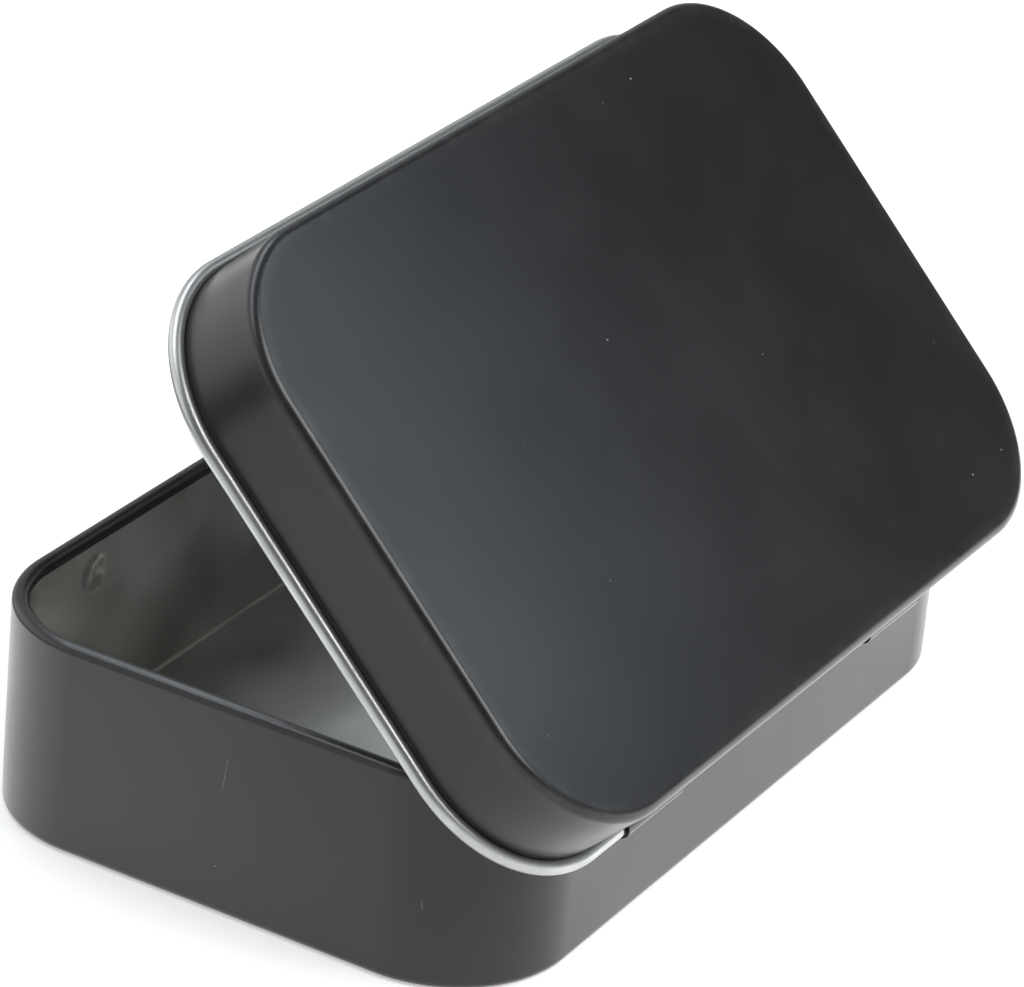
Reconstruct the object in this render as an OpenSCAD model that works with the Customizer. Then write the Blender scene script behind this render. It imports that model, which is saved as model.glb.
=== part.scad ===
// Hinged tin for a small card game, drawn from thin sheet.
// The lid stands part open, and its rolled rim bead is the hinge pin.
// Origin: centre of the underside. +X runs along the length, the hinge is on the +Y side.

/* [Base] */
// outside length of the base wall
base_length = 90.8; // [85:0.1:100]
// outside width of the base wall
base_width = 57.0; // [52:0.1:66]
// height of the base, with its rolled rim
base_height = 20.8; // [18:0.1:26]
// outside radius of the base's upright corners
corner_radius = 12.2; // [9:0.1:15]
// thickness of the sheet
sheet = 0.23; // [0.2:0.01:0.3]
// outside radius of the bend from floor to wall
floor_bend = 0.8; // [0.6:0.05:1.5]
// outside radius of the rim that is rolled inward
curl_radius = 0.8; // [0.6:0.05:1]

/* [Lid] */
// height of the lid, from its top face to the underside of its bead
lid_depth = 10.2; // [9:0.1:12]
// outside radius of the bend from top face to wall
lid_bend = 0.9; // [0.5:0.05:1.2]
// outside radius of the rim bead that is rolled outward
bead_radius = 0.7; // [0.6:0.05:0.9]
// gap between the base wall and the lid wall
wall_gap = 0.65; // [0.62:0.01:0.9]
// gap above the rolled rim when the lid is shut
top_gap = 0.1; // [0.05:0.01:0.3]

/* [Hinge] */
// opening angle of the lid at rest
open_angle = 45.6; // [0:0.1:110]
// distance of each hinge tab from the middle
tab_offset = 22.9; // [18:0.1:30]
// length of each tab along the hinge
tab_length = 9.8; // [6:0.1:14]
// angle from straight down that the tab wraps round the bead
tab_wrap = 240; // [200:5:245]
// running gap between the bead and the tab
pin_gap = 0.06; // [0.03:0.01:0.1]
// free length at each end of a tab
end_gap = 0.5; // [0.2:0.05:1]

/* [Dimples] */
// distance of each dimple from the middle of the front wall
dimple_offset = 24; // [18:0.5:30]
// height of the dimples above the underside
dimple_height = 15.3; // [13:0.1:17]
// how far a dimple stands out of the wall
dimple_rise = 0.45; // [0.2:0.02:0.5]
// radius of the round form that presses the dimple
dimple_ball = 4.2; // [3:0.1:6]

/* [Hidden] */
$fn = 96;
corner_x = base_length / 2 - corner_radius;
corner_y = base_width / 2 - corner_radius;
lid_inner = corner_radius + wall_gap;
lid_outer = lid_inner + sheet;
lid_top = base_height + top_gap + sheet;
pin_y = base_width / 2 + wall_gap + bead_radius;
pin_z = lid_top - lid_depth + bead_radius;
tab_inner = bead_radius + pin_gap;
tab_outer = tab_inner + sheet;
tail_length = wall_gap + bead_radius + sheet;
window_height = tail_length + tab_wrap * PI / 180 * (tab_inner + sheet / 2);

// Carries a profile once round the rounded outline. The profile's x is the distance from a corner axis.
module carry_round() {
    for (side = [[1, 1, 0], [-1, 1, 90], [-1, -1, 180], [1, -1, 270]])
        translate([side[0] * corner_x, side[1] * corner_y, 0]) rotate([0, 0, side[2]])
            rotate_extrude(angle = 90) children();
    for (turn = [0, 180]) rotate([0, 0, turn]) {
        translate([corner_x, corner_y, 0]) rotate([90, 0, 0]) linear_extrude(2 * corner_y) children();
        translate([-corner_x, corner_y, 0]) rotate([90, 0, 90]) linear_extrude(2 * corner_x) children();
    }
}

// Strip of sheet bent through part of a circle, from one angle to another, up to 350 degrees.
module bent_strip(inner, outer, start, span) {
    reach = 2 * outer;
    difference() {
        circle(outer);
        circle(inner);
        polygon(concat([[0, 0]], [for (i = [0:8]) let (a = start + span + i * (360 - span) / 8)
            [reach * cos(a), reach * sin(a)]]));
    }
}

// Section of the base: floor, bend and wall, up to where the rim starts to roll.
module base_section() {
    square([corner_radius - floor_bend, sheet]);
    translate([corner_radius - floor_bend, floor_bend])
        bent_strip(floor_bend - sheet, floor_bend, 270, 90);
    translate([corner_radius - sheet, floor_bend])
        square([sheet, base_height - floor_bend - curl_radius]);
}

// Section of the lid in its shut position: top face, bend and wall, down to where the bead starts.
module lid_section() {
    translate([0, lid_top - sheet]) square([lid_outer - lid_bend, sheet]);
    translate([lid_outer - lid_bend, lid_top - lid_bend]) bent_strip(lid_bend - sheet, lid_bend, 0, 90);
    translate([lid_inner, pin_z]) square([sheet, lid_top - lid_bend - pin_z]);
}

module plate(z) {
    translate([-corner_x, -corner_y, z]) cube([2 * corner_x, 2 * corner_y, sheet]);
}

// Block that spans a hinge tab's length plus the free length at each end.
module tab_block(extra, y, z, depth, height) {
    for (x = [-tab_offset, tab_offset])
        translate([x - tab_length / 2 - extra, y, z]) cube([tab_length + 2 * extra, depth, height]);
}

module dimples(radius) {
    for (x = [-dimple_offset, dimple_offset])
        translate([x, dimple_ball - dimple_rise - base_width / 2, dimple_height])
            intersection() {
                sphere(radius);
                translate([-dimple_ball, -dimple_ball, -dimple_ball])
                    cube([2 * dimple_ball, dimple_rise + 2 * sheet, 2 * dimple_ball]);
            }
}

module base_shell() {
    color("#2b2c2e") difference() {
        union() {
            carry_round() base_section();
            plate(0);
            dimples(dimple_ball);
        }
        dimples(dimple_ball - sheet);
        tab_block(end_gap, base_width / 2 - 2 * sheet, pin_z - tab_outer, 3 * sheet, window_height);
    }
}

module base_rim_curl() {
    color("#2b2c2e") carry_round()
        translate([corner_radius - curl_radius, base_height - curl_radius])
            bent_strip(curl_radius - sheet, curl_radius, 0, 310);
}

// One tab cut from the base's back wall: a flat tail, then a wrap under, round and over the bead.
module hinge_tab(x) {
    color("#2b2c2e") translate([x - tab_length / 2, pin_y, pin_z]) rotate([90, 0, 90])
        linear_extrude(tab_length) {
            bent_strip(tab_inner, tab_outer, -90, tab_wrap);
            translate([-tail_length, -tab_outer]) square([tail_length, sheet]);
        }
}

module hinge_tab_left() {
    hinge_tab(-tab_offset);
}

module hinge_tab_right() {
    hinge_tab(tab_offset);
}

// Turns a piece of the shut lid about the bead of its back rim.
module opened() {
    translate([0, pin_y, pin_z]) rotate([-open_angle, 0, 0]) translate([0, -pin_y, -pin_z]) children();
}

module lid_shell() {
    color("#2b2c2e") opened() difference() {
        union() {
            carry_round() lid_section();
            plate(lid_top - sheet);
        }
        tab_block(end_gap, pin_y - bead_radius - sheet, pin_z - sheet, 3 * sheet, tab_outer + 2 * sheet);
    }
}

module lid_rim_bead() {
    color("#c9ccca") opened() carry_round()
        translate([lid_inner + bead_radius, pin_z])
            bent_strip(bead_radius - sheet, bead_radius, 180, 310);
}

base_shell();
base_rim_curl();
hinge_tab_left();
hinge_tab_right();
lid_shell();
lid_rim_bead();
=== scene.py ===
import math

import bmesh
import bpy
import numpy as np
from mathutils import Matrix, Vector


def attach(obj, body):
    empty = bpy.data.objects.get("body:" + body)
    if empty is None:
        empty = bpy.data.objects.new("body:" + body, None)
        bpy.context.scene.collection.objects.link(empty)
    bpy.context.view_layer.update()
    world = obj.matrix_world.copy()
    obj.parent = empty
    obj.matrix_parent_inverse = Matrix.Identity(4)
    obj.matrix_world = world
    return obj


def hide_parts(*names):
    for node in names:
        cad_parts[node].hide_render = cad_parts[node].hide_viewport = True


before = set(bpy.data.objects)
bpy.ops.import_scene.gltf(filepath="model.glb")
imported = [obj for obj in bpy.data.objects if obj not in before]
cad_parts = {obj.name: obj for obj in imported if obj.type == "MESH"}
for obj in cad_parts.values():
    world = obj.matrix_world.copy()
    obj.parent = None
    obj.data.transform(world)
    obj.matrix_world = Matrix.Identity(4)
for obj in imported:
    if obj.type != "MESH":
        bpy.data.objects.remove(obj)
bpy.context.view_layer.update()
print("frame loaded:", ", ".join(sorted(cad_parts)))

mm = 0.001
placeDigits = 7  # decimals of a metre that places are rounded to
hair = 1e-7  # places closer than this are the same
straight = 0.999  # a unit normal with a larger part than this along an axis points along it
creaseAngle = math.radians(32)  # edges that bend further are drawn sharp

# sizes that the pieces share, the same as the CAD's
tin = {
    "length": 90.8 * mm, "width": 57.0 * mm, "height": 20.8 * mm, "corner": 12.2 * mm, "sheet": 0.23 * mm,
    "lidDepth": 10.2 * mm, "bead": 0.7 * mm, "wallGap": 0.65 * mm, "topGap": 0.1 * mm, "openAngle": 45.6,
    "tabOffset": 22.9 * mm, "tabLength": 9.8 * mm, "tabWrap": 240, "pinGap": 0.06 * mm, "endGap": 0.5 * mm,
    "rolled": 310,  # degrees that a rim is rolled through
}
cornerX = tin["length"] / 2 - tin["corner"]
cornerY = tin["width"] / 2 - tin["corner"]
lidTop = tin["height"] + tin["topGap"] + tin["sheet"]
lidIn = tin["corner"] + tin["wallGap"]
lidOut = lidIn + tin["sheet"]
pinY = tin["width"] / 2 + tin["wallGap"] + tin["bead"]
pinZ = lidTop - tin["lidDepth"] + tin["bead"]
tabIn = tin["bead"] + tin["pinGap"]
tabOut = tabIn + tin["sheet"]

# how densely the grids are divided
grid = {
    "side": 1.6 * mm, "wall": 1.1 * mm,  # steps along a side and up a wall
    "corner": 31, "disc": 8, "face": 7,  # points round a corner, out to the corner axes and on to the bend
    "sideEnd": 0.1 * mm, "wallEnd": 0.07 * mm, "faceEnd": 0.05 * mm,  # the last short step before a bend
    "leastSide": 0.06 * mm, "leastWall": 0.05 * mm,  # the least step that is kept
}

# the flat map, in millimetres: the least upright part of a level face's normal, how far up and down faces are
# moved apart, where the walls along x and along y go, and how far the two walls of a pair are moved apart
flatLayout = {"level": 0.7, "levelShift": 40, "alongX": 300, "alongY": 600, "wallShift": 150}


def thinned(places, marks, least):
    # the places in rising order, less those within least of the one before; the marks and the last place stay
    s = np.unique(np.round(places, placeDigits))
    keep = np.concatenate([[True], np.diff(s) > least])
    keep |= np.isin(s, np.round(np.array(marks, float), placeDigits))
    keep[-1] = True
    return s[keep]


def stations(half, marks=(), fine=()):
    # evenly spaced places from +half to -half, with the marks and the places of each fine span, which is
    # given as from, to and how many
    end = half - grid["sideEnd"]
    s = [np.linspace(-half, half, int(2 * half / grid["side"]) + 1), np.array(marks, float), [-end, end]]
    s = np.concatenate(s + [np.linspace(*span) for span in fine])
    return thinned(s[np.abs(s) <= half + hair], marks, grid["leastSide"])[::-1]


def wallHeights(low, high, marks, fine=()):
    # evenly spaced heights from low to high, with the marks and the heights of each fine span
    end = grid["wallEnd"]
    z = [np.linspace(low, high, int((high - low) / grid["wall"]) + 1), [*marks, low + end, high - end]]
    z = np.concatenate(z + [np.linspace(*span) for span in fine])
    return thinned(z, marks, grid["leastWall"])


def roundPath(backMarks, frontFine=()):
    # path u -> corner-axis point C(u) and outward normal N(u): C stays put round a corner while N turns,
    # and along a side C slides while N stays put; each corner comes with the side that follows it, the signs
    # of its x and y, and the angle where it starts
    turn = np.radians(np.linspace(0, 90, grid["corner"]))
    centres, normals = [], []
    corners = (("back", 1, 1, 0), ("left", -1, 1, 90), ("front", -1, -1, 180), ("right", 1, -1, 270))
    for side, sx, sy, start in corners:
        a = turn + math.radians(start)
        centres.append(np.tile([sx * cornerX, sy * cornerY], (len(a), 1)))
        normals.append(np.stack([np.cos(a), np.sin(a)], 1))
        if side in ("left", "right"):
            y = -sx * stations(cornerY)[1:-1]
            slide = np.stack([np.full_like(y, sx * cornerX), y], 1)
        else:
            marks, fine = (backMarks, ()) if side == "back" else ((), frontFine)
            x = sy * stations(cornerX, marks, fine)[1:-1]
            slide = np.stack([x, np.full_like(x, sy * cornerY)], 1)
        centres.append(slide)
        outward = math.radians(start + 90)
        normals.append(np.tile([math.cos(outward), math.sin(outward)], (len(slide), 1)))
    return np.concatenate(centres), np.concatenate(normals)


def flatFace(x, z, near):
    # profile of a level face at height z: k goes from 0 in its middle to 1 at the corner axes, and then x
    # goes on to where the bend starts, with one more point the distance near short of it
    out = np.insert(np.linspace(0, x, grid["face"]), grid["face"] - 1, x - near)[1:]
    k = np.concatenate([np.linspace(0, 1, grid["disc"]), np.ones_like(out)])
    return np.stack([k, np.concatenate([np.zeros(grid["disc"]), out]), np.full_like(k, z)], 1)


def arc(x, z, r, start, end, n):
    # profile of part of a circle: x + r cos a, z + r sin a
    a = np.radians(np.linspace(start, end, n))
    return np.stack([np.ones(n), x + r * np.cos(a), z + r * np.sin(a)], 1)


def upright(x, heights):
    # profile of a wall at the distance x from the corner axes
    return np.stack([np.ones_like(heights), np.full_like(heights, x), heights], 1)


def carried(profile, centres, normals):
    # profile v -> (k, x, z) carried along path u: P(u, v) = (k C(u) + x N(u), z), as an array [v, u, 3]
    xy = profile[:, None, 0:1] * centres[None] + profile[:, None, 1:2] * normals[None]
    z = np.broadcast_to(profile[:, None, 2:3], xy.shape[:2] + (1,))
    return np.concatenate([xy, z], 2)


def turned(p, degrees, axisY, axisZ):
    # turned about a line along x: y becomes y cos a + z sin a, and z becomes z cos a - y sin a, both measured
    # from the line
    c, s = math.cos(math.radians(degrees)), math.sin(math.radians(degrees))
    y, z = p[..., 1] - axisY, p[..., 2] - axisZ
    return np.stack([p[..., 0], axisY + y * c + z * s, axisZ + z * c - y * s], -1)


def opened(p):
    # the shut lid's points turned about its rear bead by the open angle, front edge up
    return turned(p, tin["openAngle"], pinY, pinZ)


def gridFaces(rows, cols, first=0, wrapRows=False):
    # quads of a grid whose columns close into a ring, and whose rows may
    r = np.arange(rows if wrapRows else rows - 1)[:, None]
    c = np.arange(cols)[None]
    above, right = ((r + 1) % rows) * cols, (c + 1) % cols
    return np.stack([r * cols + c, r * cols + right, above + right, above + c], -1) + first


def between(pair):
    # quads between two lines of as many points, given as [2, n]
    a, b = pair
    return np.stack([a[:-1], a[1:], b[1:], b[:-1]], -1)


def faceOut(mesh):
    # a closed mesh whose faces point outwards has a positive volume
    b = bmesh.new()
    b.from_mesh(mesh)
    bmesh.ops.recalc_face_normals(b, faces=b.faces)
    if b.calc_volume(signed=True) < 0:
        bmesh.ops.reverse_faces(b, faces=b.faces)
    b.to_mesh(mesh)
    b.free()
    mesh.set_sharp_from_angle(angle=creaseAngle)


def flatMap(mesh, tilted):
    # each face laid flat in millimetres: a level face by its x and y, a wall by its place along the side and
    # its height, and the two sides of each kind set apart; tilted is for the lid, which is turned shut first
    p = np.zeros(len(mesh.vertices) * 3, np.float32)
    mesh.vertices.foreach_get("co", p)
    n = np.zeros(len(mesh.polygons) * 3, np.float32)
    mesh.polygons.foreach_get("normal", n)
    p, n = p.reshape(-1, 3).astype(float), n.reshape(-1, 3).astype(float)
    if tilted:
        p, n = turned(p, -tin["openAngle"], pinY, pinZ), turned(n, -tin["openAngle"], 0, 0)
    vertex = np.zeros(len(mesh.loops), np.int32)
    mesh.loops.foreach_get("vertex_index", vertex)
    size = np.zeros(len(mesh.polygons), np.int32)
    mesh.polygons.foreach_get("loop_total", size)
    n, at = np.repeat(n, size, axis=0), p[vertex] / mm
    level, along = np.abs(n[:, 2]) > flatLayout["level"], np.abs(n[:, 1]) > np.abs(n[:, 0])
    place = np.where(along, at[:, 0] + flatLayout["alongX"], at[:, 1] + flatLayout["alongY"])
    place = place + flatLayout["wallShift"] * np.sign(n[:, 0] + n[:, 1])
    lying = at[:, :2] + flatLayout["levelShift"] * np.sign(n[:, 2:3])
    uv = np.where(level[:, None], lying, np.stack([place, at[:, 2]], 1))
    mesh.uv_layers.new(name="flatMap").data.foreach_set("uv", uv.astype(np.float32).ravel())


def makeMesh(name, points, faces, finishes, kinds, worn, tilted):
    # an object at the origin from points [n, 3] and quads, of which those at a pole become triangles; kinds
    # picks each face's finish, and worn is how far each point is rubbed
    mesh = bpy.data.meshes.new(name)
    mesh.from_pydata(points.tolist(), [], [tuple(dict.fromkeys(f)) for f in faces.tolist()])
    mesh.validate()
    for one in finishes:
        mesh.materials.append(one)
    mesh.polygons.foreach_set("material_index", np.asarray(kinds, np.int32))
    mesh.attributes.new("worn", "FLOAT", "POINT").data.foreach_set("value", np.asarray(worn, np.float32))
    mesh.polygons.foreach_set("use_smooth", np.ones(len(mesh.polygons), bool))
    mesh.update()
    obj = bpy.data.objects.new(name, mesh)
    bpy.context.scene.collection.objects.link(obj)
    faceOut(mesh)
    flatMap(mesh, tilted)
    return obj


def sheetShell(name, profiles, path, windows, wear, push=None, tilted=False):
    # one sheet: its painted skin and its bare skin are two grids [v, u], each a profile carried along the
    # path, and a strip joins their last rows; a window leaves out the cells between four grid lines, and
    # strips line its edges
    outer, inner = profiles
    centres, normals = path
    rows, cols = len(outer), len(centres)
    grids = np.stack([carried(outer, centres, normals), carried(inner, centres, normals)])
    if push is not None:
        grids += push(grids, normals)
    if tilted:
        grids = opened(grids)
    index = np.arange(2 * rows * cols).reshape(2, rows, cols)
    onWall = np.abs(outer[:, 1] - outer[:, 1].max()) < hair
    onBack = normals[:, 1] > straight
    hole, strips = np.zeros((rows - 1, cols), bool), []
    for x0, x1, z0, z1 in windows:
        us = np.flatnonzero(onBack & (centres[:, 0] > x0 - hair) & (centres[:, 0] < x1 + hair))
        vs = np.flatnonzero(onWall & (outer[:, 2] > z0 - hair) & (outer[:, 2] < z1 + hair))
        hole[vs[0]:vs[-1], us[0]:us[-1]] = True
        strips += [between(index[:, v, us]) for v in (vs[0], vs[-1]) if 0 < v < rows - 1]
        strips += [between(index[:, vs, u]) for u in (us[0], us[-1])]
    painted = gridFaces(rows, cols)[~hole]
    bare = gridFaces(rows, cols, rows * cols)[~hole][:, ::-1]
    ends = index[:, -1]
    rim = np.stack([ends[0], ends[1], np.roll(ends[1], -1), np.roll(ends[0], -1)], -1)[~hole[-1]]
    faces = np.concatenate([painted, bare, rim] + strips)
    kinds = np.arange(len(faces)) >= len(painted)
    worn = np.concatenate([np.repeat(wear(outer), cols), np.zeros(rows * cols)])
    same = index.ravel().copy()  # the first row of each skin is one point, the middle of its flat face
    same[index[:, 0]] = index[:, 0, :1]
    used, faces = np.unique(same[faces], return_inverse=True)
    points, faces = grids.reshape(-1, 3)[used], faces.reshape(-1, 4)
    return makeMesh(name, points, faces, [lacquer, tinplate], kinds, worn[used], tilted)


def put(tree, kind, inputs=None, **settings):
    # a new node with its own settings, and each named input linked to a socket or set to a constant
    n = tree.nodes.new(kind)
    for key, value in settings.items():
        setattr(n, key, value)
    for key, value in (inputs or {}).items():
        if isinstance(value, bpy.types.NodeSocket):
            tree.links.new(value, n.inputs[key])
        else:
            n.inputs[key].default_value = value
    return n


def newFinish(name, kind="ShaderNodeBsdfPrincipled"):
    # an empty material with one shader; returns the material, its tree, the shader and the object's own
    # coordinates
    m = bpy.data.materials.new(name)
    m.use_nodes = True
    tree = m.node_tree
    tree.nodes.clear()
    shader = put(tree, kind)
    put(tree, "ShaderNodeOutputMaterial", {"Surface": shader.outputs[0]})
    return m, tree, shader, put(tree, "ShaderNodeTexCoord").outputs["Object"]


def noise(tree, vector, scale, detail, rough):
    # cloudy 0..1, with scale patches to a metre
    inputs = {"Vector": vector, "Scale": scale, "Detail": detail, "Roughness": rough}
    return put(tree, "ShaderNodeTexNoise", inputs).outputs["Fac"]


def band(tree, value, a, b, c=0.0, d=1.0, smooth=True):
    # value a..b carried to c..d and held there
    inputs = {"Value": value, "From Min": a, "From Max": b, "To Min": c, "To Max": d}
    way = "SMOOTHSTEP" if smooth else "LINEAR"
    return put(tree, "ShaderNodeMapRange", inputs, interpolation_type=way).outputs["Result"]


def maths(tree, what, a, b=0.0):
    # a and b, each a socket or a number, put through one operation
    return put(tree, "ShaderNodeMath", {0: a, 1: b}, operation=what).outputs[0]


def mixed(tree, factor, a, b):
    # colour a where the factor is 0, b where it is 1
    a, b = ((*c, 1) if isinstance(c, tuple) else c for c in (a, b))
    return put(tree, "ShaderNodeMix", {0: factor, 6: a, 7: b}, data_type="RGBA").outputs[2]


def hairline(tree, at, p, q, width):
    # 1 near the straight line from p to q, fading to 0 at width from it: the point's shadow on the line is
    # p + t (q - p), with t = (at - p).(q - p) / |q - p|^2 held to 0..1
    d = tuple(b - a for a, b in zip(p, q))
    rel = put(tree, "ShaderNodeVectorMath", {0: at, 1: p}, operation="SUBTRACT").outputs["Vector"]
    dot = put(tree, "ShaderNodeVectorMath", {0: rel, 1: d}, operation="DOT_PRODUCT").outputs["Value"]
    t = band(tree, maths(tree, "DIVIDE", dot, sum(c * c for c in d)), 0.0, 1.0, smooth=False)
    shadow = put(tree, "ShaderNodeVectorMath", {0: d, "Scale": t}, operation="SCALE").outputs["Vector"]
    away = put(tree, "ShaderNodeVectorMath", {0: rel, 1: shadow}, operation="DISTANCE").outputs["Value"]
    return band(tree, away, width, width * 0.3)


lacquerLook = {
    "colour": (0.0085, 0.0090, 0.0100), "specular": 0.45,
    "rough": (0.28, 0.34), "cloud": 55,  # roughness, and how many patches of it there are to a metre
    "cloudSpan": (0.3, 0.7),  # the noise that the roughness runs over
    "peel": 0.07, "peelScale": 1300, "peelDepth": 0.03 * mm,  # the fine orange peel of sprayed lacquer
    "worn": (0.030, 0.031, 0.032), "wornScale": 300, "wornGloss": 0.05,  # gloss is how much smoother it is
    "wornPatch": (0.40, 0.70), "wornShare": (0.25, 1.0),  # noise over this range is rubbed by this share
    # dust: its colour, how many cells there are to a millimetre, and the share of them that hold none
    "dust": (0.40, 0.40, 0.38), "dustCells": 0.16, "dustFree": 0.72,
    "dustSize": (-0.02, 0.017), "dustEdge": (0.004, -0.006),  # size of the dots and their soft edge, in cells
    "dustShare": 0.7, "dustRough": 0.4,  # how much a dot covers, and how much rougher it is
    # hairline scratches: one end, other end, width
    "scratched": (0.20, 0.20, 0.195), "scratchShare": 0.6, "scratchDepth": 0.01 * mm, "scratchBump": 0.25,
    "scratches": [((0.0454, 0.0001, 0.0125), (0.0454, 0.0004, 0.0157), 0.00005),
                  ((0.0447, 0.0204, 0.0078), (0.0447, 0.0203, 0.0086), 0.00006)],
}


def matteLacquer(name, look):
    # black lacquer with fine peel, two scratches, dust, and lighter where it is rubbed
    m, tree, shader, at = newFinish(name)
    marks = 0.0
    for p, q, width in look["scratches"]:
        marks = maths(tree, "MAXIMUM", hairline(tree, at, p, q, width), marks)
    # a dot in a few of the cells of the sheet's own flat map, which is in millimetres
    flat = put(tree, "ShaderNodeUVMap", uv_map="flatMap").outputs["UV"]
    cells = put(tree, "ShaderNodeTexVoronoi", {"Vector": flat, "Scale": look["dustCells"], "Randomness": 1.0},
                voronoi_dimensions="2D")
    pick = put(tree, "ShaderNodeSeparateColor", {"Color": cells.outputs["Color"]}).outputs[0]
    size = band(tree, pick, look["dustFree"], 1.0, *look["dustSize"], smooth=False)
    dust = band(tree, maths(tree, "SUBTRACT", cells.outputs["Distance"], size), *look["dustEdge"])
    worn = put(tree, "ShaderNodeAttribute", attribute_name="worn").outputs["Fac"]
    patchy = band(tree, noise(tree, at, look["wornScale"], 4, 0.7), *look["wornPatch"], *look["wornShare"])
    rubbed = maths(tree, "MULTIPLY", worn, patchy)
    colour = mixed(tree, rubbed, look["colour"], look["worn"])
    colour = mixed(tree, maths(tree, "MULTIPLY", marks, look["scratchShare"]), colour, look["scratched"])
    colour = mixed(tree, maths(tree, "MULTIPLY", dust, look["dustShare"]), colour, look["dust"])
    tree.links.new(colour, shader.inputs["Base Color"])
    rough = band(tree, noise(tree, at, look["cloud"], 4, 0.6), *look["cloudSpan"], *look["rough"])
    rough = maths(tree, "SUBTRACT", rough, maths(tree, "MULTIPLY", rubbed, look["wornGloss"]))
    rough = maths(tree, "ADD", rough, maths(tree, "MULTIPLY", dust, look["dustRough"]))
    tree.links.new(rough, shader.inputs["Roughness"])
    peel = put(tree, "ShaderNodeBump", {"Height": noise(tree, at, look["peelScale"], 2, 0.55),
                                        "Strength": look["peel"], "Distance": look["peelDepth"]})
    groove = put(tree, "ShaderNodeBump", {"Height": marks, "Normal": peel.outputs[0],
                                          "Strength": look["scratchBump"], "Distance": look["scratchDepth"]},
                 invert=True)
    tree.links.new(groove.outputs[0], shader.inputs["Normal"])
    shader.inputs["Specular IOR Level"].default_value = look["specular"]
    return m


# mottle is how many patches there are to a metre, and detail how ragged they are
tinplateLook = {
    "bright": (0.86, 0.875, 0.835), "dull": (0.19, 0.195, 0.18), "rough": (0.10, 0.32),
    "mottle": 95, "detail": 1, "metal": 0.80,
}
beadLook = {
    "bright": (0.55, 0.56, 0.55), "dull": (0.34, 0.35, 0.34), "rough": (0.27, 0.47),
    "mottle": 260, "detail": 3, "metal": 0.9,
}


def bareTinplate(name, look):
    # soft patches that run from bright and smooth to dull and rough
    m, tree, shader, at = newFinish(name)
    cloud = noise(tree, at, look["mottle"], look["detail"], 0.5)
    tree.links.new(mixed(tree, cloud, look["bright"], look["dull"]), shader.inputs["Base Color"])
    tree.links.new(band(tree, cloud, 0.0, 1.0, *look["rough"], smooth=False), shader.inputs["Roughness"])
    shader.inputs["Metallic"].default_value = look["metal"]
    return m


lacquer = matteLacquer("matteBlackLacquer", lacquerLook)
tinplate = bareTinplate("bareTinplate", tinplateLook)
beadMetal = bareTinplate("beadTinplate", beadLook)
print("finishes made")

base = {
    "floorBend": 0.8 * mm, "curl": 0.8 * mm, "bendSteps": 10, "curlSteps": 44,
    "dimpleOffset": 24 * mm, "dimpleHeight": 15.3 * mm, "dimpleRise": 0.45 * mm, "dimpleBall": 4.2 * mm,
    "dimpleReach": 2.6 * mm, "dimpleSteps": 21,  # half the width of a dimple's finer grid, and its points
    "footHeight": 0.2 * mm, "footBlur": 0.35 * mm,  # where the floor bend is rubbed
    # how far down the curl is rubbed, over what height that builds up, and how much it is rubbed
    "topReach": 0.35 * mm, "topBlur": 0.3 * mm, "topWorn": 0.8,
}
tailLength = tin["wallGap"] + tin["bead"] + tin["sheet"]
windowLow = pinZ - tabOut
windowHigh = windowLow + tailLength + math.radians(tin["tabWrap"]) * (tabIn + tin["sheet"] / 2)
halfWindow = tin["tabLength"] / 2 + tin["endGap"]
tabMiddles = (-tin["tabOffset"], tin["tabOffset"])
windowSpans = [(x - halfWindow, x + halfWindow) for x in tabMiddles]
windowMarks = [x for span in windowSpans for x in span]


def dimpleSpan(middle):
    # the finer places across one dimple: from, to, how many
    return middle - base["dimpleReach"], middle + base["dimpleReach"], base["dimpleSteps"]


def baseProfiles():
    # floor, bend, wall and rolled rim, for the outside and then for the inside, one sheet's thickness
    # further in
    r, h, bend, curl = tin["corner"], tin["height"], base["floorBend"], base["curl"]
    heights = wallHeights(bend, h - curl, [windowLow, windowHigh], [dimpleSpan(base["dimpleHeight"])])
    return [np.concatenate([
        flatFace(r - bend, cut, grid["faceEnd"]),
        arc(r - bend, bend, bend - cut, -90, 0, base["bendSteps"])[1:],
        upright(r - cut, heights)[1:],
        arc(r - curl, h - curl, curl - cut, 0, tin["rolled"], base["curlSteps"])[1:],
    ]) for cut in (0, tin["sheet"])]


def dimplePush(grids, normals):
    # pushes each point of the front wall outwards to a ball's surface: sqrt(R^2 - d^2) - (R - rise), where
    # that is positive
    x, z = grids[..., 0], grids[..., 2]
    aside = np.abs(x) - base["dimpleOffset"]
    d = aside ** 2 + (z - base["dimpleHeight"]) ** 2
    ball = np.array([base["dimpleBall"], base["dimpleBall"] - tin["sheet"]])[:, None, None]
    rise = np.sqrt(np.maximum(ball ** 2 - d, 0)) - (ball - base["dimpleRise"])
    front = (normals[:, 1] < -straight)[None, None]
    wall = np.abs(grids[..., 1] + tin["width"] / 2) < 2 * tin["sheet"]
    push = np.zeros_like(grids)
    push[..., 1] = -np.where(front & wall, np.maximum(rise, 0), 0)
    return push


def baseWear(profile):
    # rubbed on the floor bend, as exp(-((z - height) / blur)^2), and along the top of the curl, as a ramp
    x, z = profile[:, 1], profile[:, 2]
    onBend = x > tin["corner"] - base["floorBend"]
    foot = np.exp(-((z - base["footHeight"]) / base["footBlur"]) ** 2) * onBend
    top = np.clip((z - tin["height"] + base["topReach"]) / base["topBlur"], 0, 1)
    return np.clip(foot + base["topWorn"] * top, 0, 1)


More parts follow.
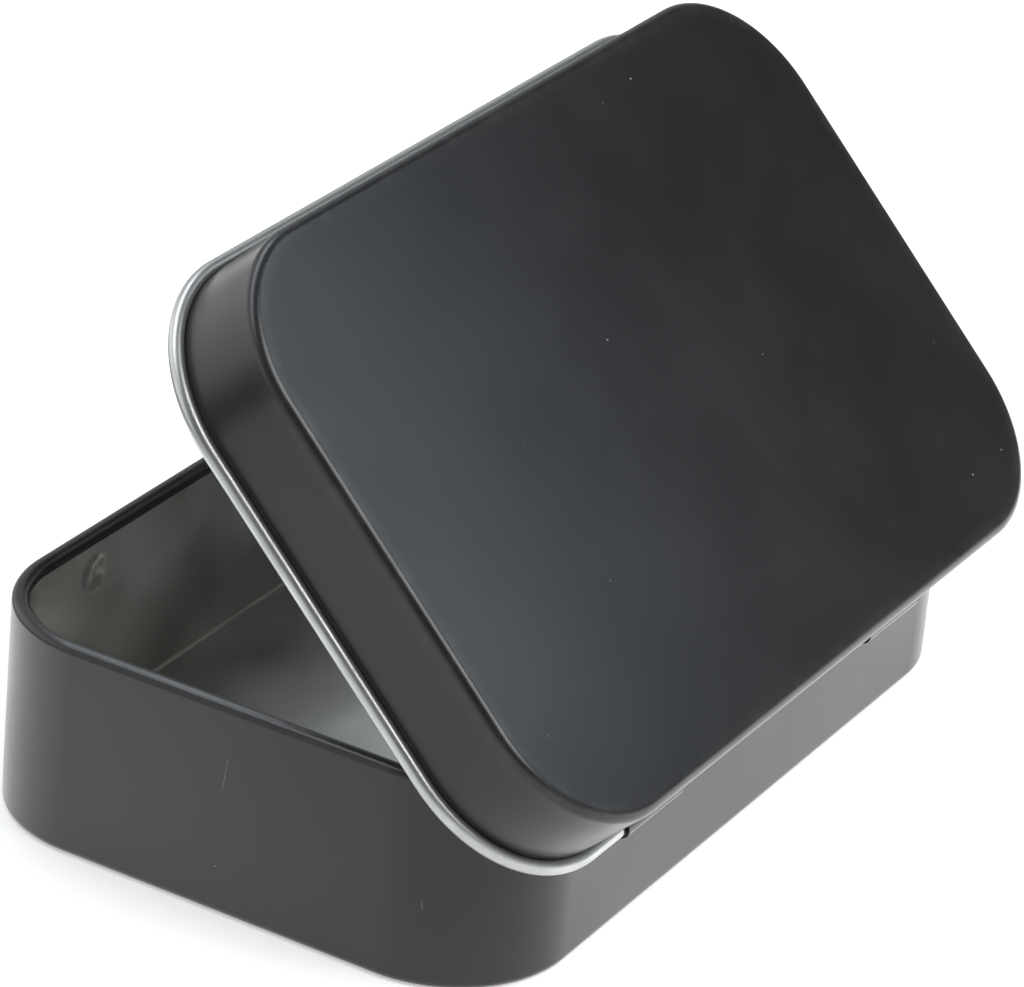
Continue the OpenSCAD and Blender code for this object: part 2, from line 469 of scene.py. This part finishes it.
basePath = roundPath(windowMarks, [dimpleSpan(s * base["dimpleOffset"]) for s in (-1, 1)])
windows = [(x0, x1, windowLow, windowHigh) for x0, x1 in windowSpans]
baseSheet = sheetShell("baseSheet", baseProfiles(), basePath, windows, baseWear, push=dimplePush)
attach(baseSheet, "base")
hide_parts("base_shell", "base_rim_curl")
print("base sheet:", len(baseSheet.data.polygons), "faces")

tabs = {
    "tailSteps": 8, "wrapSteps": 44, "worn": 0.35,
    "soft": 0.05 * mm, "softened": 0.55,  # how far in from its cut edges a tab is thinned, and to what share
}


def hingeTab(name, x):
    # a strip bent in the Y-Z plane, its tail flat and then round the bead: P(s, w) = pin + r(s), at x + w
    tail = np.linspace(-tailLength, 0, tabs["tailSteps"])[:-1]
    a = np.radians(np.linspace(-90, -90 + tin["tabWrap"], tabs["wrapSteps"]))

    def skin(r):
        return np.stack([np.append(tail, r * np.cos(a)), np.append(np.full_like(tail, -r), r * np.sin(a))], 1)

    outside, inside = skin(tabOut), skin(tabIn)
    mid = (outside + inside) / 2
    half = tin["tabLength"] / 2
    full, thin = half - tabs["soft"], tabs["softened"]
    rings = []
    for w, k in ((-half, thin), (-full, 1.0), (full, 1.0), (half, thin)):
        yz = np.concatenate([mid + (outside - mid) * k, (mid + (inside - mid) * k)[::-1]])
        rings.append(np.column_stack([np.full(len(yz), x + w), pinY + yz[:, 0], pinZ + yz[:, 1]]))
    n, around = len(mid), 2 * len(mid)
    i = np.arange(n - 1)
    cap = np.stack([i, i + 1, around - 2 - i, around - 1 - i], -1)
    sides = gridFaces(len(rings), around).reshape(-1, 4)
    faces = np.concatenate([sides, cap, cap[:, ::-1] + (len(rings) - 1) * around])
    face = np.arange(len(faces))
    bare = (face < len(sides)) & (face % around >= n)
    points = np.concatenate(rings)
    return makeMesh(name, points, faces, [lacquer, tinplate], bare, np.full(len(points), tabs["worn"]), False)


for tabName, x, node in (
    ("hingeTabLeft", -tin["tabOffset"], "hinge_tab_left"),
    ("hingeTabRight", tin["tabOffset"], "hinge_tab_right"),
):
    tab = hingeTab(tabName, x)
    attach(tab, "base")
    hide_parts(node)
print("hinge tabs made")

lid = {
    "bend": 0.9 * mm, "bendSteps": 14,
    # how much the bend is rubbed, from how far in and to how far down, and how far that fades out over the
    # top face
    "worn": 0.8, "wornIn": 0.1 * mm, "wornDown": 1.1 * mm, "wornFade": 1.1 * mm,
}
slotTop = pinZ + tabOut + tin["sheet"]


def lidProfiles():
    # top face, bend and wall of the shut lid, for the outside and then for the inside
    bend = lid["bend"]
    heights = wallHeights(pinZ, lidTop - bend, [slotTop])[::-1]
    return [np.concatenate([
        flatFace(lidOut - bend, lidTop - cut, lid["wornFade"]),
        arc(lidOut - bend, lidTop - bend, bend - cut, 90, 0, lid["bendSteps"])[1:],
        upright(wall, heights)[1:],
    ]) for wall, cut in ((lidOut, 0), (lidIn, tin["sheet"]))]


def lidWear(profile):
    # rubbed all round the bend of the top face
    x, z = profile[:, 1], profile[:, 2]
    rubbed = (x > lidOut - lid["bend"] - lid["wornIn"]) & (z > lidTop - lid["wornDown"])
    return np.where(rubbed, lid["worn"], 0.0)


bead = {
    "steps": 40,
    "paintedShadeEnd": 0.75 * mm,  # how far the bead's outside is painted black past each end of a tab, as painted shade for the notch there
}
halfPaintedShade = tin["tabLength"] / 2 + bead["paintedShadeEnd"]
lidPath = roundPath(windowMarks + [x + s * halfPaintedShade for x in tabMiddles for s in (-1, 1)])
slots = [(x0, x1, pinZ, slotTop) for x0, x1 in windowSpans]
lidSheet = sheetShell("lidSheet", lidProfiles(), lidPath, slots, lidWear, tilted=True)
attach(lidSheet, "lid")
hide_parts("lid_shell")


def rimBead(name):
    # closed section of rolled sheet, an outer and an inner arc joined at their ends, carried round the
    # lid's path
    r, x, n = tin["bead"], lidIn + tin["bead"], bead["steps"]
    start, end = 180, 180 + tin["rolled"]
    section = np.concatenate([arc(x, pinZ, r, start, end, n), arc(x, pinZ, r - tin["sheet"], end, start, n)])
    centres, normals = lidPath
    points = opened(carried(section, centres, normals)).reshape(-1, 3)
    faces = gridFaces(len(section), len(centres), wrapRows=True).reshape(-1, 4)
    row, column = np.divmod(np.arange(len(faces)), len(centres))
    # painted shade: beside each tab the bead's outside gets black lacquer, standing in for the shade in the
    # notch between the bead and the tab
    atTab = np.abs(np.abs(centres[column, 0]) - tin["tabOffset"]) < halfPaintedShade - hair
    black = (row >= n) | (atTab & (normals[column, 1] > straight))  # the inside, and the outside at each tab, which is painted black as shade in the notch
    return makeMesh(name, points, faces, [beadMetal, lacquer], black, np.zeros(len(points)), True)


lidBead = rimBead("lidBead")
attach(lidBead, "lid")
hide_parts("lid_rim_bead")
print("lid sheet:", len(lidSheet.data.polygons), "faces, bead:", len(lidBead.data.polygons), "faces")

floor = {
    "half": 4.0, "colour": 0.80, "seen": 0.42,  # seen is the brightness added for the camera's rays
    # brightness added for the gloss, away from the camera and towards it; which way is towards it, as parts
    # of x and y; and between which distances from the tin's middle it changes
    "mirrored": (1.22, 0.35), "nearer": (0.85, 0.5), "change": (0.030, 0.070),
    # a dim strip in front of the tin, for the gloss alone: how dim, its middle, and its outer and inner
    # half width
    "strip": 1.0, "stripY": -0.18, "stripHalf": (0.13, 0.06),
}


def paleFloor(look):
    # lit and shaded by the lamps; the camera and the glossy rays see it a little brighter, so that it reads
    # as white
    m, t, both, at = newFinish("paleFloor", "ShaderNodeAddShader")
    light = put(t, "ShaderNodeLightPath")
    place = put(t, "ShaderNodeSeparateXYZ", {"Vector": at})
    nearer = maths(t, "ADD", maths(t, "MULTIPLY", place.outputs["X"], look["nearer"][0]),
                   maths(t, "MULTIPLY", place.outputs["Y"], look["nearer"][1]))
    off = maths(t, "ABSOLUTE", maths(t, "SUBTRACT", place.outputs["Y"], look["stripY"]))
    inStrip = band(t, off, *look["stripHalf"], 0.0, look["strip"])
    strip = maths(t, "MULTIPLY", light.outputs["Is Glossy Ray"], inStrip)
    mirrored = band(t, nearer, *look["change"], *look["mirrored"])
    glossy = maths(t, "MULTIPLY", mirrored, maths(t, "SUBTRACT", 1.0, strip))
    lift = maths(t, "ADD", maths(t, "MULTIPLY", light.outputs["Is Camera Ray"], look["seen"]),
                 maths(t, "MULTIPLY", light.outputs["Is Glossy Ray"], glossy))
    colour = mixed(t, strip, (look["colour"],) * 3, (0.0, 0.0, 0.0))
    diffuse = put(t, "ShaderNodeBsdfDiffuse", {"Color": colour})
    glow = put(t, "ShaderNodeEmission", {"Strength": lift})
    for i, part in enumerate((diffuse, glow)):
        t.links.new(part.outputs[0], both.inputs[i])
    half = look["half"]
    mesh = bpy.data.meshes.new("floor")
    corners = [(-half, -half, 0), (half, -half, 0), (half, half, 0), (-half, half, 0)]
    mesh.from_pydata(corners, [], [(0, 1, 2, 3)])
    mesh.materials.append(m)
    obj = bpy.data.objects.new("floor", mesh)
    bpy.context.scene.collection.objects.link(obj)


# brightness of the room that the gloss mirrors, each span as from nothing to all
roomLook = {
    "ambient": 0.42,  # the even light on everything that isn't gloss
    "behind": ((0.04, 1.0), (0.28, 0.04), (0.70, 0.04), (1.0, 0.09)),  # behind the tin, at rising heights
    "front": 0.50, "frontY": (0.05, -0.45),
    # a pale card in front
    "card": 1.6, "cardX": (-0.55, -0.10), "cardY": (-0.25, -0.55), "cardZ": (0.80, 0.40),
}


def ramped(tree, value, steps):
    # grey levels at the given heights, slightly blue
    n = put(tree, "ShaderNodeValToRGB", {"Fac": value})
    e = n.color_ramp.elements
    while len(e) < len(steps):
        e.new(0.5)
    for one, (where, level) in zip(e, steps):
        one.position, one.color = where, (level * 0.97, level, level * 1.04, 1)
    return n.outputs["Color"]


def softRoom(look):
    # white to the camera; gloss mirrors a room that is white at the horizon, dim above it behind the tin and
    # pale in front of it; the rest is even light
    world = bpy.data.worlds.new("softRoom")
    bpy.context.scene.world = world
    world.use_nodes = True
    t = world.node_tree
    t.nodes.clear()
    light = put(t, "ShaderNodeLightPath")
    direction = put(t, "ShaderNodeTexCoord").outputs["Generated"]
    way = put(t, "ShaderNodeSeparateXYZ", {"Vector": direction}).outputs
    front = tuple(look["front"] * c for c in (0.95, 1.0, 1.05))
    room = mixed(t, band(t, way["Y"], *look["frontY"]), ramped(t, way["Z"], look["behind"]), front)
    card = maths(t, "MULTIPLY", band(t, way["X"], *look["cardX"]), band(t, way["Y"], *look["cardY"]))
    card = maths(t, "MULTIPLY", card, band(t, way["Z"], *look["cardZ"]))
    room = mixed(t, card, room, (look["card"],) * 3)
    mirrored = mixed(t, light.outputs["Is Glossy Ray"], (look["ambient"],) * 3, room)
    white = maths(t, "MAXIMUM", light.outputs["Is Camera Ray"], light.outputs["Is Transmission Ray"])
    back = put(t, "ShaderNodeBackground", {"Color": mixed(t, white, mirrored, (1.0, 1.0, 1.0))})
    put(t, "ShaderNodeOutputWorld", {"Surface": back.outputs[0]})


paleFloor(floor)
softRoom(roomLook)
print("floor and room made")

# along is the direction of a lamp's long side, the second of its sizes
lamps = {
    "topLamp": {"at": (-0.03, -0.38, 0.81), "size": (0.34, 1.15), "power": 4.3, "toward": (0, 0, 0.02),
                "along": (1, 0, 0), "colour": (0.95, 1.0, 1.05)},
    "backLamp": {"at": (-0.08, 0.45, 0.52), "size": (0.42, 0.42), "power": 3.5, "toward": (-0.05, 0.09, 0)},
    "farLamp": {"at": (-0.088, 0.094, 0.130), "size": (0.03, 0.10), "power": 0.030,
                "toward": (0.062, 0.01, 0.045), "along": (0, 0.70, -0.71), "colour": (0.90, 1.0, 1.10)},
}


def softLamp(name, look):
    # a rectangular lamp that faces a point: back points away from it, and across and the long side span
    # the lamp
    light = bpy.data.lights.new(name, "AREA")
    light.shape = "RECTANGLE"
    light.size, light.size_y = look["size"]
    light.energy = look["power"]
    light.color = look.get("colour", (1, 1, 1))
    obj = bpy.data.objects.new(name, light)
    back = (Vector(look["at"]) - Vector(look["toward"])).normalized()
    across = Vector(look.get("along", (0, 0, 1))).cross(back).normalized()
    turn = Matrix((across, back.cross(across), back)).transposed().to_4x4()
    obj.matrix_world = Matrix.Translation(Vector(look["at"])) @ turn
    obj.visible_camera = False
    bpy.context.scene.collection.objects.link(obj)


for lampName, lampLook in lamps.items():
    softLamp(lampName, lampLook)

cameraPlace = {
    "position": (0.39690, 0.21441, 0.24954), "azimuth": 118.24, "elevation": 26.60, "roll": 5.44,
    "lens": 192.67, "sensor": 36, "clip": (0.01, 20),
}


def placeCamera(look):
    # axes of the camera: back points from the target to it, right is level, then both turn by the roll
    a, e, roll = (math.radians(look[k]) for k in ("azimuth", "elevation", "roll"))
    back = Vector((math.sin(a) * math.cos(e), -math.cos(a) * math.cos(e), math.sin(e)))
    right = (-back).cross(Vector((0, 0, 1))).normalized()
    up = right.cross(-back)
    across = right * math.cos(roll) + up * math.sin(roll)
    upward = up * math.cos(roll) - right * math.sin(roll)
    cam = bpy.data.cameras.new("camera")
    cam.lens, cam.sensor_width, cam.sensor_fit = look["lens"], look["sensor"], "HORIZONTAL"
    cam.clip_start, cam.clip_end = look["clip"]
    obj = bpy.data.objects.new("camera", cam)
    turn = Matrix((across, upward, back)).transposed().to_4x4()
    obj.matrix_world = Matrix.Translation(Vector(look["position"])) @ turn
    bpy.context.scene.collection.objects.link(obj)
    bpy.context.scene.camera = obj


placeCamera(cameraPlace)
bpy.context.scene.view_settings.view_transform = "Standard"
print("lamps and camera placed")

print("scene ready")
